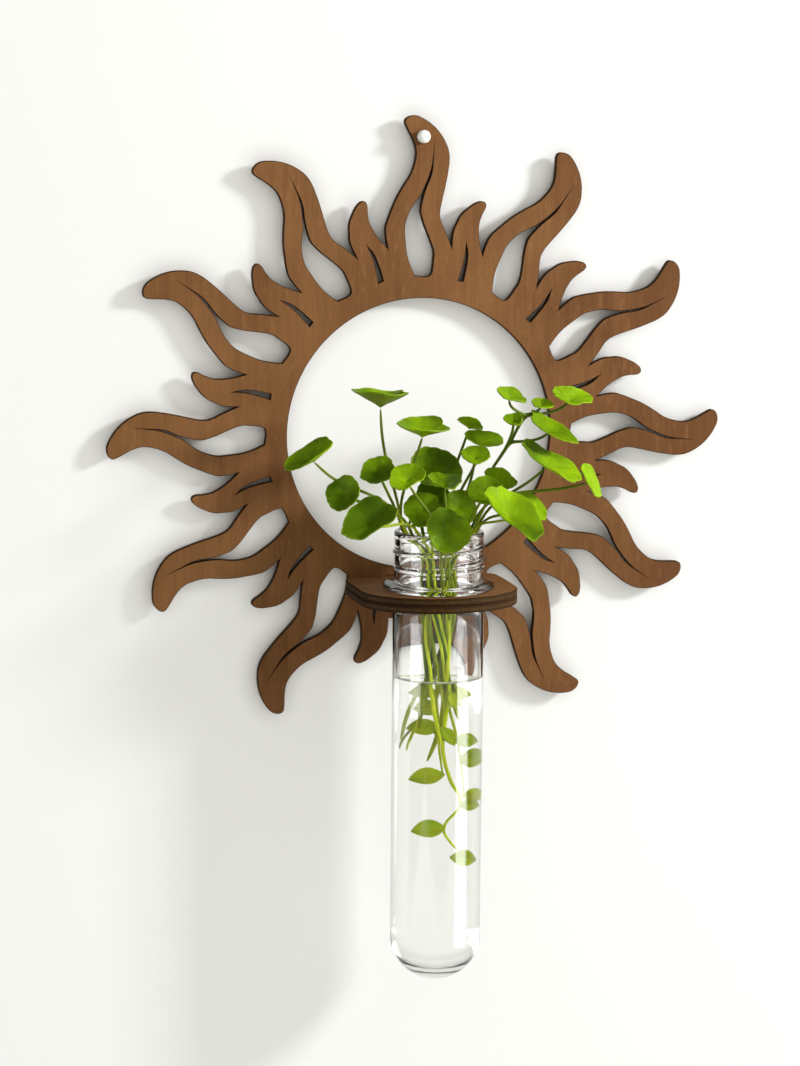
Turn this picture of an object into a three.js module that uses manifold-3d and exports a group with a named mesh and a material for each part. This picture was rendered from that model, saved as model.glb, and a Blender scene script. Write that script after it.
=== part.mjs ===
// Wall propagation station: a laser-cut plywood sun hangs on a wall nail, and a shelf tabbed into its
// ring carries a clear test-tube vase with round-leaved cuttings standing in it.
// Millimetres. The origin is the nail's axis in the plane of the wall: +X right, +Y into the wall, +Z up.
import * as THREE from 'three';
import { mergeVertices } from 'three/addons/utils/BufferGeometryUtils.js';
import Module from 'manifold-3d';

const wasm = await Module();
wasm.setup();

// Plywood sun
const SHEET = 3.2;
const HOLE_RADIUS = 60.5;
const RING_WIDTH = 9.5;
const NOTCH_RISE = 13.8;
const RAY_COUNT = 12;
const FREE_PLACE = 6;
const RAY_LENGTH = 58;
const RAY_SLIT_LENGTH = 51.5;
const FLAME_LENGTH = 22.9;
const FLAME_SLIT_LENGTH = 16.4;

// Nail that the sun hangs on
const NAIL_INSET = 9.3;
const NAIL_SIDE = 1.3;
const PIN_DIAMETER = 2.2;
const PIN_IN_WALL = 16;
const PIN_POINT = 4;
const PIN_CLEARANCE = 0.4;
const HEAD_DIAMETER = 5.8;
const HEAD_HEIGHT = 3.6;
const HEAD_CROWN = 1.3;
const HEAD_BORE_DEPTH = 2.2;

// Test-tube vase
const TUBE_DIAMETER = 40;
const TUBE_WALL = 1.8;
const TUBE_BASE = 7;
const BODY_LENGTH = 176.3;
const NECK_HEIGHT = 25.5;
const NECK_STEP = 0.6;
const NECK_WALL = 2;
const FLANGE_STEP = 4.5;
const FLANGE_THICKNESS = 2.6;
const LIP_ROUND = 0.6;
const SHOULDER_HEIGHT = 6;

// Shelf
const AXIS_REACH = 34;
const SHELF_FRONT_MARGIN = 2.5;
const SHELF_SIDE_MARGIN = 10.5;
const SHELF_NOSE = 27;
const SHELF_CORNER = 6;
const TUBE_CLEARANCE = 0.5;
const TAB_WIDTH = 8;
const TAB_OFFSET = 10;

// Cuttings
const STALK_DIAMETER = 1.4;
const STALK_DEPTH = 108;
const BUNCH_TWIST = 126;
const LIP_RISE = 3;
const STALK_BEND = 0.38;
const BRANCH_BEND = 0.3;
const LEAF_THICKNESS = 0.9;
const LEAF_CUP = 0.18;
const LEAF_MIDDLE = 0.6;
const LEAF_MIDDLE_CUP = 0.3;
const SHOOT_DIAMETER = 1.4;
const SHOOT_START = 18;

// Fits between pieces
const SEAT_GAP = 0.2;
const TAB_CLEARANCE = 0.3;
const SOFT_GAP = 0.3;
const LIP_GAP = 0.5;

// Facets round a full turn, and steps along a curve
const TUBE_SIDES = 36;
const HOLE_SIDES = 66;
const PIN_SIDES = 16;
const HEAD_SIDES = 24;
const LEAF_SIDES = 12;
const STALK_SIDES = 5;
const RAY_STEPS = 32;
const FLAME_STEPS = 15;
const PLAIN_STEPS = 6;
const RAY_SLIT_STEPS = 13;
const FLAME_SLIT_STEPS = 4;
const NOSE_STEPS = 14;
const CORNER_STEPS = 4;
const BOWL_STEPS = 8;
const CROWN_STEPS = 4;
const STALK_STEPS = 11;
const BRANCH_STEPS = 4;
const SHOOT_STEPS = 3;

// Places worked out from the sizes above
const slitRadius = HOLE_RADIUS + RING_WIDTH;
const notchRadius = slitRadius + NOTCH_RISE;
const sector = (2 * Math.PI) / RAY_COUNT;
const rayHalfAngle = sector / 3;
const flameHalfAngle = sector / 2 - rayHalfAngle;
const rayRootHalf = notchRadius * Math.sin(rayHalfAngle);
const rayRoot = notchRadius * Math.cos(rayHalfAngle);
const flameRootHalf = notchRadius * Math.sin(flameHalfAngle);
const flameRoot = notchRadius * Math.cos(flameHalfAngle);
const nailRadius = rayRoot + RAY_LENGTH - NAIL_INSET;
const sunTurn = Math.atan2(NAIL_SIDE, nailRadius);
const sunDrop = Math.hypot(NAIL_SIDE, nailRadius);
const shelfTop = -sunDrop - HOLE_RADIUS - (RING_WIDTH - SHEET) / 2;
const axisY = -SHEET - AXIS_REACH;
const tubeRadius = TUBE_DIAMETER / 2;
const innerRadius = tubeRadius - TUBE_WALL;
const neckRadius = tubeRadius - NECK_STEP;
const neckBore = neckRadius - NECK_WALL;
const flangeRadius = tubeRadius + FLANGE_STEP;
const flangeBottom = shelfTop + SEAT_GAP;
const mouth = flangeBottom + NECK_HEIGHT;
const stalkRadius = STALK_DIAMETER / 2;
const lipReach = neckBore - stalkRadius - LIP_GAP;
const waistRadius = lipReach * Math.cos(THREE.MathUtils.degToRad(BUNCH_TWIST / 2));
const heldRadius = waistRadius - stalkRadius - 2 * SOFT_GAP - SHOOT_DIAMETER / 2;

const plywood = { color: 0x7b4a2b, roughness: 0.65, metalness: 0 };
const clearPlastic = { color: 0xe8efee, roughness: 0.08, metalness: 0, transparent: true, opacity: 0.35 };
const steel = { color: 0xb9bcbf, roughness: 0.35, metalness: 1 };
const whitePlastic = { color: 0xf2f1ec, roughness: 0.35, metalness: 0 };
const leafGreen = { color: 0x6d9a1f, roughness: 0.45, metalness: 0 };
const stalkGreen = { color: 0x8aa83c, roughness: 0.5, metalness: 0 };

const station = new THREE.Group();

function addPiece(name, geometry, finish, group = station) {
  const piece = new THREE.Mesh(geometry, new THREE.MeshStandardMaterial(finish));
  piece.name = name;
  group.add(piece);
  return piece;
}

function toSolid(geometry) {
  const plain = geometry.clone();
  plain.deleteAttribute('normal');
  plain.deleteAttribute('uv');
  const merged = mergeVertices(plain, 1e-4);
  const vertProperties = new Float32Array(merged.attributes.position.array);
  const triVerts = new Uint32Array(merged.index.array);
  return new wasm.Manifold(new wasm.Mesh({ numProp: 3, vertProperties, triVerts }));
}

function toGeometry(solid) {
  const { vertProperties, triVerts } = solid.getMesh();
  const geometry = new THREE.BufferGeometry();
  geometry.setAttribute('position', new THREE.BufferAttribute(vertProperties, 3));
  geometry.setIndex(new THREE.BufferAttribute(triVerts, 1));
  return geometry;
}

function joined(geometries) {
  return toGeometry(geometries.map(toSolid).reduce((sum, solid) => sum.add(solid)));
}

function cut(geometry, tools) {
  return toGeometry(tools.map(toSolid).reduce((rest, tool) => rest.subtract(tool), toSolid(geometry)));
}

// A smooth line through points given as shares of a half width and of a length above a root
function flank(points, halfWidth, root, length, steps) {
  const through = points.map(([side, along]) => new THREE.Vector2(side * halfWidth, root + along * length));
  return new THREE.SplineCurve(through).getPoints(steps);
}

function turned(points, clockwise) {
  const centre = new THREE.Vector2();
  return points.map((point) => point.clone().rotateAround(centre, sunTurn - clockwise));
}

function circle(radius, x, y, sides) {
  return new THREE.EllipseCurve(x, y, radius, radius, 0, 2 * Math.PI).getPoints(sides).slice(0, sides);
}

// Sun: each ray sways to its round tip, with a small flame leaning the other way beside it
function rayEdge() {
  const sway = [
    [-1, 0], [-1.08, 0.138], [-0.96, 0.245], [-0.67, 0.409], [-0.26, 0.571], [-0.12, 0.716],
    [-0.21, 0.812], [-0.445, 0.933], [-0.425, 0.974], [-0.24, 0.997], [0.035, 0.986], [0.51, 0.903],
    [0.845, 0.776], [0.93, 0.655], [0.8, 0.462], [0.645, 0.293], [0.653, 0.209], [0.79, 0.129], [1, 0],
  ];
  return flank(sway, rayRootHalf, rayRoot, RAY_LENGTH, RAY_STEPS);
}

function flameEdge() {
  const lick = [
    [-1, 0], [-1.16, 0.28], [-1.07, 0.476], [-0.83, 0.716], [-0.06, 0.978], [0.28, 0.998],
    [0.445, 0.937], [0.31, 0.657], [0.37, 0.472], [0.61, 0.24], [1, 0],
  ];
  return flank(lick, flameRootHalf, flameRoot, FLAME_LENGTH, FLAME_STEPS);
}

// Long teardrop slit that follows the ray's sway from a blunt root to a point
function raySlit() {
  const left = [
    [-0.165, 0.01], [-0.38, 0.165], [-0.465, 0.396], [-0.405, 0.491], [-0.26, 0.586], [0.075, 0.722],
    [0.34, 0.899], [0.412, 1],
  ];
  const right = [
    [0.412, 1], [0.365, 0.872], [0.22, 0.777], [0.035, 0.6], [0.05, 0.518], [0.148, 0.423],
    [0.412, 0.233], [0.412, 0.124], [0.365, 0.03], [0.268, 0.002],
  ];
  const up = flank(left, rayRootHalf, slitRadius, RAY_SLIT_LENGTH, RAY_SLIT_STEPS);
  const down = flank(right, rayRootHalf, slitRadius, RAY_SLIT_LENGTH, RAY_SLIT_STEPS);
  return [...up, ...down.slice(1)];
}

function flameSlit() {
  const left = [[-0.1, 0], [-0.055, 0.33], [-0.045, 0.64], [-0.165, 1]];
  const right = [[-0.165, 1], [0.115, 0.7], [0.205, 0.22], [0.22, 0.02]];
  const up = flank(left, flameRootHalf, slitRadius, FLAME_SLIT_LENGTH, FLAME_SLIT_STEPS);
  const down = flank(right, flameRootHalf, slitRadius, FLAME_SLIT_LENGTH, FLAME_SLIT_STEPS);
  return [...up, ...down.slice(1)];
}

function tabSlot(side) {
  const slot = new THREE.BoxGeometry(TAB_WIDTH + 2 * TAB_CLEARANCE, 3 * SHEET, SHEET + 2 * TAB_CLEARANCE);
  return slot.translate(side * TAB_OFFSET, -SHEET / 2, shelfTop - SHEET / 2);
}

// The place behind the tube has no ray, only a plain rim between its two flames
function plainEdge() {
  const start = Math.PI / 2 + rayHalfAngle;
  const end = Math.PI / 2 - rayHalfAngle;
  return new THREE.EllipseCurve(0, 0, notchRadius, notchRadius, start, end, true).getPoints(PLAIN_STEPS);
}

function makeSun() {
  const rim = [];
  const cutouts = [circle(HOLE_RADIUS, 0, 0, HOLE_SIDES)];
  for (let place = 0; place < RAY_COUNT; place += 1) {
    const rayTurn = place * sector;
    const flameTurn = rayTurn + sector / 2;
    const isFree = place === FREE_PLACE;
    const edge = isFree ? plainEdge() : rayEdge();
    rim.push(...turned(edge, rayTurn).slice(0, -1), ...turned(flameEdge(), flameTurn).slice(0, -1));
    cutouts.push(turned(flameSlit(), flameTurn));
    if (!isFree) cutouts.push(turned(raySlit(), rayTurn));
  }
  cutouts.push(circle(PIN_DIAMETER / 2 + PIN_CLEARANCE, 0, sunDrop, PIN_SIDES));
  const outline = new THREE.Shape(rim.reverse());
  outline.holes = cutouts.map((points) => new THREE.Path(points));
  const geometry = new THREE.ExtrudeGeometry(outline, { depth: SHEET, bevelEnabled: false });
  geometry.rotateX(Math.PI / 2);
  geometry.translate(0, 0, -sunDrop);
  addPiece('sun_plate', cut(geometry, [tabSlot(-1), tabSlot(1)]), plywood);
}

// Nail: a steel pin in the wall with a white push-on head in front of the plywood
function makeNail() {
  const pinRadius = PIN_DIAMETER / 2;
  const headBase = SHEET + SEAT_GAP;
  const pinEnd = headBase + HEAD_BORE_DEPTH - SEAT_GAP;
  const pin = [
    [0, -PIN_IN_WALL], [pinRadius, PIN_POINT - PIN_IN_WALL], [pinRadius, pinEnd], [0, pinEnd],
  ];
  const bore = pinRadius + SEAT_GAP;
  const headRadius = HEAD_DIAMETER / 2;
  const crownBase = headBase + HEAD_HEIGHT - HEAD_CROWN;
  const head = [
    [0, headBase + HEAD_BORE_DEPTH], [bore, headBase + HEAD_BORE_DEPTH], [bore, headBase],
    [headRadius, headBase],
  ];
  const dome = new THREE.EllipseCurve(0, crownBase, headRadius, HEAD_CROWN, 0, Math.PI / 2);
  const crown = dome.getPoints(CROWN_STEPS);
  const headProfile = [...head.map(([r, y]) => new THREE.Vector2(r, y)), ...crown];
  headProfile.at(-1).x = 0;
  const pinProfile = pin.map(([r, y]) => new THREE.Vector2(r, y));
  addPiece('nail_pin', new THREE.LatheGeometry(pinProfile, PIN_SIDES).rotateX(Math.PI), steel);
  addPiece('nail_head', new THREE.LatheGeometry(headProfile, HEAD_SIDES).rotateX(Math.PI), whitePlastic);
}

// Shelf: two glued sheets with a bore for the tube, the upper one tabbed through the sun's ring
function shelfLayer(hasTabs) {
  const half = flangeRadius + SHELF_SIDE_MARGIN;
  const front = axisY - flangeRadius - SHELF_FRONT_MARGIN;
  const back = -SHEET - SEAT_GAP;
  const noseStart = front + SHELF_NOSE;
  const corner = new THREE.EllipseCurve(
    half - SHELF_CORNER, back - SHELF_CORNER, SHELF_CORNER, SHELF_CORNER, 0, Math.PI / 2,
  ).getPoints(CORNER_STEPS);
  const outline = new THREE.Shape(corner);
  const tabCentres = hasTabs ? [TAB_OFFSET, -TAB_OFFSET] : [];
  for (const centre of tabCentres) {
    outline.lineTo(centre + TAB_WIDTH / 2, back);
    outline.lineTo(centre + TAB_WIDTH / 2, -SEAT_GAP);
    outline.lineTo(centre - TAB_WIDTH / 2, -SEAT_GAP);
    outline.lineTo(centre - TAB_WIDTH / 2, back);
  }
  corner.toReversed().forEach(({ x, y }) => outline.lineTo(-x, y));
  outline.absellipse(0, noseStart, half, SHELF_NOSE, Math.PI, 2 * Math.PI);
  outline.holes = [new THREE.Path(circle(tubeRadius + TUBE_CLEARANCE, 0, axisY, TUBE_SIDES))];
  return new THREE.ExtrudeGeometry(outline, { depth: SHEET, bevelEnabled: false, curveSegments: NOSE_STEPS });
}

function makeShelf() {
  const upperBase = shelfTop - SHEET;
  const lowerBase = upperBase - SEAT_GAP - SHEET;
  addPiece('shelf_upper_layer', shelfLayer(true), plywood).position.z = upperBase;
  addPiece('shelf_lower_layer', shelfLayer(false), plywood).position.z = lowerBase;
}

// Tube: round bottom, support flange that rests on the shelf, and a straight neck with a rounded lip
function makeTube() {
  const bowl = -BODY_LENGTH + tubeRadius;
  const bowlDepth = tubeRadius - TUBE_BASE;
  const outerBowl = new THREE.EllipseCurve(0, bowl, tubeRadius, tubeRadius, -Math.PI / 2, 0);
  const innerBowl = new THREE.EllipseCurve(0, bowl, innerRadius, bowlDepth, 0, -Math.PI / 2, true);
  const wall = [
    [tubeRadius, 0], [flangeRadius - LIP_ROUND, 0], [flangeRadius, LIP_ROUND],
    [flangeRadius, FLANGE_THICKNESS - LIP_ROUND], [flangeRadius - LIP_ROUND, FLANGE_THICKNESS],
    [neckRadius, FLANGE_THICKNESS], [neckRadius, NECK_HEIGHT - LIP_ROUND],
    [neckRadius - LIP_ROUND, NECK_HEIGHT], [neckBore + LIP_ROUND, NECK_HEIGHT],
    [neckBore, NECK_HEIGHT - LIP_ROUND], [neckBore, 0], [innerRadius, -SHOULDER_HEIGHT],
  ];
  const profile = [
    ...outerBowl.getPoints(BOWL_STEPS),
    ...wall.map(([r, z]) => new THREE.Vector2(r, z)),
    ...innerBowl.getPoints(BOWL_STEPS),
  ];
  profile[0].x = 0;
  profile.at(-1).x = 0;
  const geometry = new THREE.LatheGeometry(profile, TUBE_SIDES).rotateX(Math.PI / 2);
  addPiece('clear_tube', geometry, clearPlastic).position.set(0, axisY, flangeBottom);
}

// Cuttings stand in the mouth as a spiral bunch. Each stalk leans on the lip at its own place, crosses
// the middle of the bunch and ends near the far wall, so that no two of them meet.
const cuttings = new THREE.Group();
cuttings.position.set(0, axisY, mouth);
station.add(cuttings);

// Leaf places are from the middle of the mouth. "lip" is the stalk's place round the lip in degrees from
// +X, "faces" the way the upper side looks, "reach" the share of the full depth that the stalk goes down.
const leaves = [
  { lip: 0, at: [26, -2.4, 20.6], faces: [0.15, -0.6, 0.78], length: 16, width: 13, reach: 0.74 },
  { lip: 15, at: [66.5, -6, 20], faces: [0.72, -0.52, 0.42], length: 20, width: 15, reach: 0.66 },
  { lip: 45, at: [15.4, -1.5, 31.2], faces: [-0.1, -0.5, 0.86], length: 14, width: 12, reach: 0.7 },
  { lip: 60, at: [22.6, 11.5, 35.2], faces: [0.1, -0.35, 0.93], length: 18, width: 16, reach: 0.64 },
  { lip: 75, at: [18.3, 18, 42.5], faces: [0.35, 0.35, 0.87], length: 14, width: 11, reach: 0.9 },
  { lip: 90, at: [8, -3, 10], faces: [0.2, -0.85, 0.5], length: 17, width: 16, reach: 0.86 },
  { lip: 105, at: [-1.2, 7.2, 11.8], faces: [0.1, -0.6, 0.8], length: 19, width: 17, reach: 0.8 },
  { lip: 120, at: [0.6, 13, 23], faces: [0.05, -0.62, 0.78], length: 27, width: 23.4, reach: 0.78 },
  { lip: 135, at: [-8.2, -3.6, 9.5], faces: [-0.25, -0.85, 0.5], length: 17, width: 16, reach: 0.86 },
  { lip: 150, at: [-27.5, -3, 55.5], faces: [0.05, 0.02, 1], length: 26, width: 24, reach: 0.9 },
  { lip: 165, at: [-8.5, -2, 42], faces: [0.05, -0.2, 0.97], length: 24.5, width: 21, reach: 0.7 },
  { lip: 180, at: [-28, -4, 25.6], faces: [-0.35, -0.5, 0.79], length: 17, width: 16, reach: 0.76 },
  { lip: 195, at: [-58, -7, 33], faces: [-0.5, -0.15, 0.85], length: 25, width: 20, reach: 0.64 },
  { lip: 210, at: [-45, -11, 18.2], faces: [-0.5, -0.65, 0.57], length: 17, width: 16, reach: 0.68 },
  { lip: 225, at: [-37, -24, 7.5], faces: [-0.35, -0.5, 0.79], length: 27, width: 21, reach: 0.72 },
  { lip: 255, at: [-19, -17, 24.5], faces: [-0.2, -0.5, 0.84], length: 18, width: 14.5, reach: 0.76 },
  { lip: 270, at: [0, -8, 20], faces: [0, -0.2, 0.98], length: 21, width: 14, reach: 0.78 },
  { lip: 285, at: [-4, -29, 4.2], faces: [0.05, -0.95, 0.3], length: 20, width: 20, reach: 0.7 },
  { lip: 300, at: [16.5, -14.5, 18.2], faces: [-0.35, -0.72, 0.6], length: 16, width: 14, reach: 0.64 },
  { lip: 315, at: [22, -34, 9.6], faces: [0.35, -0.48, 0.8], length: 34, width: 25, reach: 0.98 },
  { lip: 330, at: [37, -12, 10.5], faces: [0.5, -0.5, 0.7], length: 18, width: 15, reach: 0.66 },
  { lip: 345, at: [44.7, -12, 28.2], faces: [0.42, -0.4, 0.8], length: 33, width: 20, reach: 0.72 },
];

// One upright sprig with several small leaves: its stem heads the way "heads" at its top, and the side
// stalks leave it at the share "from" of its length
const sprig = { lip: 30, top: [37, -3, 50], heads: [0.35, -0.1, 0.93], reach: 0.68 };
const sprigLeaves = [
  { from: 1, at: [29.5, -6, 57.5], faces: [0.35, -0.4, 0.85], length: 16, width: 12 },
  { from: 1, at: [59, 1, 55.5], faces: [0.2, -0.45, 0.87], length: 21, width: 14 },
  { from: 0.9, at: [47, -8, 43], faces: [0.35, -0.45, 0.82], length: 25, width: 15 },
  { from: 0.86, at: [30.5, -9, 48], faces: [-0.2, -0.5, 0.84], length: 9, width: 8 },
  { from: 1, at: [45, -2, 53.5], faces: [0.1, -0.45, 0.88], length: 11, width: 8 },
];

// Trailing shoots hang in the water, held between the stalks where the bunch is narrowest, on the side
// "held" in degrees from +X. Points across are shares of the tube's inner radius. Each leaf grows from
// the share "from" of the shoot's line, the way that it "points".
const shoots = [
  {
    held: 310,
    path: [
      [0.2, -0.1, -80], [0.24, -0.1, -98], [0.5, -0.15, -112], [0.64, -0.16, -123], [0.36, -0.2, -133],
      [0.58, -0.22, -144],
    ],
    leaves: [
      { from: 0.88, points: [-1, -0.1, -0.15], faces: [0, -0.85, 0.5], length: 15, width: 8 },
      { from: 1, points: [-0.5, -0.4, -0.35], faces: [0, -0.8, 0.6], length: 12, width: 7 },
    ],
  },
  {
    held: 130,
    path: [[0, 0.04, -80], [0.04, -0.02, -97], [0.1, -0.06, -108]],
    leaves: [{ from: 1, points: [-1, -0.2, -0.1], faces: [0, -0.85, 0.5], length: 15, width: 8 }],
  },
  {
    held: 50,
    path: [[0.24, 0.16, -76], [0.4, 0.14, -94], [0.48, 0.16, -108], [0.52, 0.16, -118]],
    leaves: [
      { from: 0.72, points: [0.8, -0.3, 0], faces: [-0.2, -0.85, 0.5], length: 9, width: 8 },
      { from: 1, points: [0.8, -0.2, -0.4], faces: [0.2, -0.8, 0.5], length: 7, width: 6 },
    ],
  },
];

const vector = (values) => new THREE.Vector3(...values);

function tube(path, diameter, steps) {
  const section = new THREE.Shape(circle(diameter / 2, 0, 0, STALK_SIDES));
  return new THREE.ExtrudeGeometry(section, { steps, bevelEnabled: false, extrudePath: path });
}

// Round blade, cupped towards its upper side, with its long way pointing outwards
function blade({ length, width }) {
  const cup = LEAF_CUP * width;
  const half = LEAF_THICKNESS / 2;
  const middleCup = LEAF_MIDDLE_CUP * cup;
  const under = [[0, -half], [LEAF_MIDDLE, middleCup - half], [1, cup - half]];
  const upper = [[1, cup + half], [LEAF_MIDDLE, middleCup + half], [0, half]];
  const profile = [...under, ...upper].map(([r, z]) => new THREE.Vector2(r, z));
  const disc = new THREE.LatheGeometry(profile, LEAF_SIDES).rotateX(Math.PI / 2);
  return disc.scale(length / 2, width / 2, 1);
}

function bladePlace(centre, facing, outward) {
  const across = new THREE.Vector3().crossVectors(facing, outward).normalize();
  const along = new THREE.Vector3().crossVectors(across, facing);
  return new THREE.Matrix4().makeBasis(along, across, facing).setPosition(centre);
}

function placedBlade(leaf, centre, stem) {
  const facing = vector(leaf.faces).normalize();
  const outward = centre.clone().sub(stem).setZ(0);
  return blade(leaf).applyMatrix4(bladePlace(centre, facing, outward));
}

function around(radius, degrees, height) {
  const angle = THREE.MathUtils.degToRad(degrees);
  return new THREE.Vector3(radius * Math.cos(angle), radius * Math.sin(angle), height);
}

// Straight from deep in the tube to the lip, then a smooth bend that ends at "tip" heading along "facing"
function stalkPath(lip, reach, tip, facing) {
  const onLip = around(lipReach, lip, 0);
  const far = around(lipReach, lip + BUNCH_TWIST, -STALK_DEPTH);
  const low = onLip.clone().lerp(far, reach);
  const lean = onLip.clone().sub(far).normalize();
  const bend = onLip.clone().addScaledVector(lean, LIP_RISE);
  const handle = STALK_BEND * bend.distanceTo(tip);
  const rise = bend.clone().addScaledVector(lean, handle);
  const arrive = tip.clone().addScaledVector(facing, -handle);
  const path = new THREE.CurvePath();
  path.add(new THREE.LineCurve3(low, bend));
  path.add(new THREE.CubicBezierCurve3(bend, rise, arrive, tip));
  return path;
}

function makeLeaves() {
  leaves.forEach((leaf, index) => {
    const number = String(index + 1).padStart(2, '0');
    const centre = vector(leaf.at);
    const facing = vector(leaf.faces).normalize();
    const tip = centre.clone().addScaledVector(facing, -LEAF_THICKNESS / 2 - SOFT_GAP);
    const stalk = tube(stalkPath(leaf.lip, leaf.reach, tip, facing), STALK_DIAMETER, STALK_STEPS);
    addPiece(`leaf_${number}`, placedBlade(leaf, centre, new THREE.Vector3()), leafGreen, cuttings);
    addPiece(`leaf_stalk_${number}`, stalk, stalkGreen, cuttings);
  });
}

function makeSprig() {
  const top = vector(sprig.top);
  const stemPath = stalkPath(sprig.lip, sprig.reach, top, vector(sprig.heads));
  const stem = [tube(stemPath, STALK_DIAMETER, STALK_STEPS)];
  sprigLeaves.forEach((leaf, index) => {
    const centre = vector(leaf.at);
    const facing = vector(leaf.faces).normalize();
    const tip = centre.clone().addScaledVector(facing, -LEAF_THICKNESS / 2 - SOFT_GAP);
    const from = stemPath.getPoint(leaf.from);
    const bend = tip.clone().addScaledVector(facing, -BRANCH_BEND * from.distanceTo(tip));
    stem.push(tube(new THREE.QuadraticBezierCurve3(from, bend, tip), STALK_DIAMETER, BRANCH_STEPS));
    addPiece(`sprig_leaf_${index + 1}`, placedBlade(leaf, centre, from), leafGreen, cuttings);
  });
  addPiece('sprig_stem', joined(stem), stalkGreen, cuttings);
}

function makeShoots() {
  const inTube = ([x, y, z]) => new THREE.Vector3(x * innerRadius, y * innerRadius, z);
  shoots.forEach((shoot, index) => {
    const start = around(heldRadius, shoot.held, SHOOT_START - STALK_DEPTH / 2);
    const waist = around(heldRadius, shoot.held, -STALK_DEPTH / 2);
    const line = new THREE.CatmullRomCurve3([start, waist, ...shoot.path.map(inTube)]);
    const pieces = [tube(line, SHOOT_DIAMETER, SHOOT_STEPS * line.points.length)];
    for (const leaf of shoot.leaves) {
      const base = line.getPoint(leaf.from);
      const outward = vector(leaf.points).normalize();
      const facing = vector(leaf.faces).normalize();
      const centre = base.clone().addScaledVector(outward, leaf.length / 2 - SHOOT_DIAMETER);
      centre.addScaledVector(facing, -LEAF_CUP * leaf.width);
      pieces.push(placedBlade(leaf, centre, base));
    }
    addPiece(`trailing_shoot_${index + 1}`, joined(pieces), stalkGreen, cuttings);
  });
}

makeSun();
makeNail();
makeShelf();
makeTube();
makeLeaves();
makeSprig();
makeShoots();

export default station;
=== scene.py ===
"""Looks of a wall propagation station: stained plywood sun and shelf, clear tube vase, water and cuttings."""

import math
import random

import bpy
import numpy as np
from mathutils import Matrix, Vector
from mathutils.geometry import interpolate_bezier


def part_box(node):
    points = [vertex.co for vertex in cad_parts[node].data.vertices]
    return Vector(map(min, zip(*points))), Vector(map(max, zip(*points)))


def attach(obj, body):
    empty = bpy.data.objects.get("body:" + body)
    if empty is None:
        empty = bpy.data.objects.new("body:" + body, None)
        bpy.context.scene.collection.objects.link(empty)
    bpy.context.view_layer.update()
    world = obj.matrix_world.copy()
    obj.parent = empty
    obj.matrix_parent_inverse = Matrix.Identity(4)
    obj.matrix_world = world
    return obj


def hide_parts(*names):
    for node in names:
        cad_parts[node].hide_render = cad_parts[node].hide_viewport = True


bl_info = {
    "name": "Wall Propagation Station",
    "version": (1, 0, 0),
    "blender": (4, 5, 0),
    "location": "View3D > Sidebar > Station",
    "description": "Dresses the plywood sun, its shelf, the nail, the tube vase, the water and the cuttings",
    "category": "Object",
}

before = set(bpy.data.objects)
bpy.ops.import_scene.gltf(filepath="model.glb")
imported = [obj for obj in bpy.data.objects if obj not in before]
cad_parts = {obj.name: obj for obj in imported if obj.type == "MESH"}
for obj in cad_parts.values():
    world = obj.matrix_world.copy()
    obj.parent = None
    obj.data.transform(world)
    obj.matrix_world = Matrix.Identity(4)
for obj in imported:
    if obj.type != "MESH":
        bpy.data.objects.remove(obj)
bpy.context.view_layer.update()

MM = 0.001
X, Y, Z = 0, 1, 2

# The tube's own places in the frame
TUBE_LOW, TUBE_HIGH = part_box("clear_tube")
AXIS = Vector(((TUBE_LOW.x + TUBE_HIGH.x) / 2, (TUBE_LOW.y + TUBE_HIGH.y) / 2, 0))
MOUTH = TUBE_HIGH.z
SEAT_GAP = 0.2 * MM
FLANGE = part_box("shelf_upper_layer")[1].z + SEAT_GAP

# The tube's radii and roundings
FLANGE_RADIUS = (TUBE_HIGH.x - TUBE_LOW.x) / 2
FLANGE_REACH = 4.5 * MM
FLANGE_HALF = 1.3 * MM
BODY_RADIUS = FLANGE_RADIUS - FLANGE_REACH
NECK_RADIUS = BODY_RADIUS - 0.6 * MM
NECK_WALL = 2 * MM
FILLET = 0.8 * MM
LIP_RISE = 0.8 * MM
BOWL = TUBE_LOW.z + BODY_RADIUS
POLE = 0.05 * MM
POLE_ANGLE = -87
OUTER_STEPS = 28
BOWL_STEPS = 24
NECK_STEPS = 60

# Beads round the neck (how far each stands out, its height above the flange, its half width), and the thread
BEADS = ((0.75 * MM, 9.6 * MM, 0.7 * MM), (0.35 * MM, 23.6 * MM, 1.0 * MM))
BEADED_BAND = (5 * MM, 25 * MM)
THREAD_START = 11.5 * MM
THREAD_TURNS = 1.75
THREAD_PHASE = 0.35
THREAD_FADE = 0.12

# Water: its climb at the wall, the climb's width (mm), where the rim starts, and rings (mm from the wall)
CLIMB = 1.3 * MM
CLIMB_WIDTH = 1.1
RIM_RISE = 0.3 * MM
SURFACE_RINGS = (0.15, 0.3, 0.6, 1.0, 1.6, 2.4, 3.4, 5.0, 9.0, 14.0)

# Leaves: hollow and notch in the rim at the stalk (widths in radians), dip over the stalk, and ribs
HOLLOW, HOLLOW_WIDTH = 0.12, 0.5
NOTCH_WIDTH = 0.1
DIP, DIP_WIDTH = 0.8 * MM, 0.12
RIBS, RIB_RISE = 9, 0.014
FULL_TURN = 6.28

# Bunch of stalks, by depths (mm) below the mouth: how far they are drawn in, where they start to differ, turn
# and meet again, and how they swell and end in a point
DRAWN_AT = (0, 8, 15, 30, 48, 62, 80, 95)
DRAWN = (1, 0.72, 0.54, 0.74, 0.76, 0.62, 0.85, 1.05)
DIFFERING, TURNING, MEETING = (0, 16), (5, 75), (80, 95)
SWELL_AT = (0, 8, 70, 90, 104, 108)
PLAIN_SWELL = 0.12
THINNED = 0.35
POINTED = (-0.15, -0.45)

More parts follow.
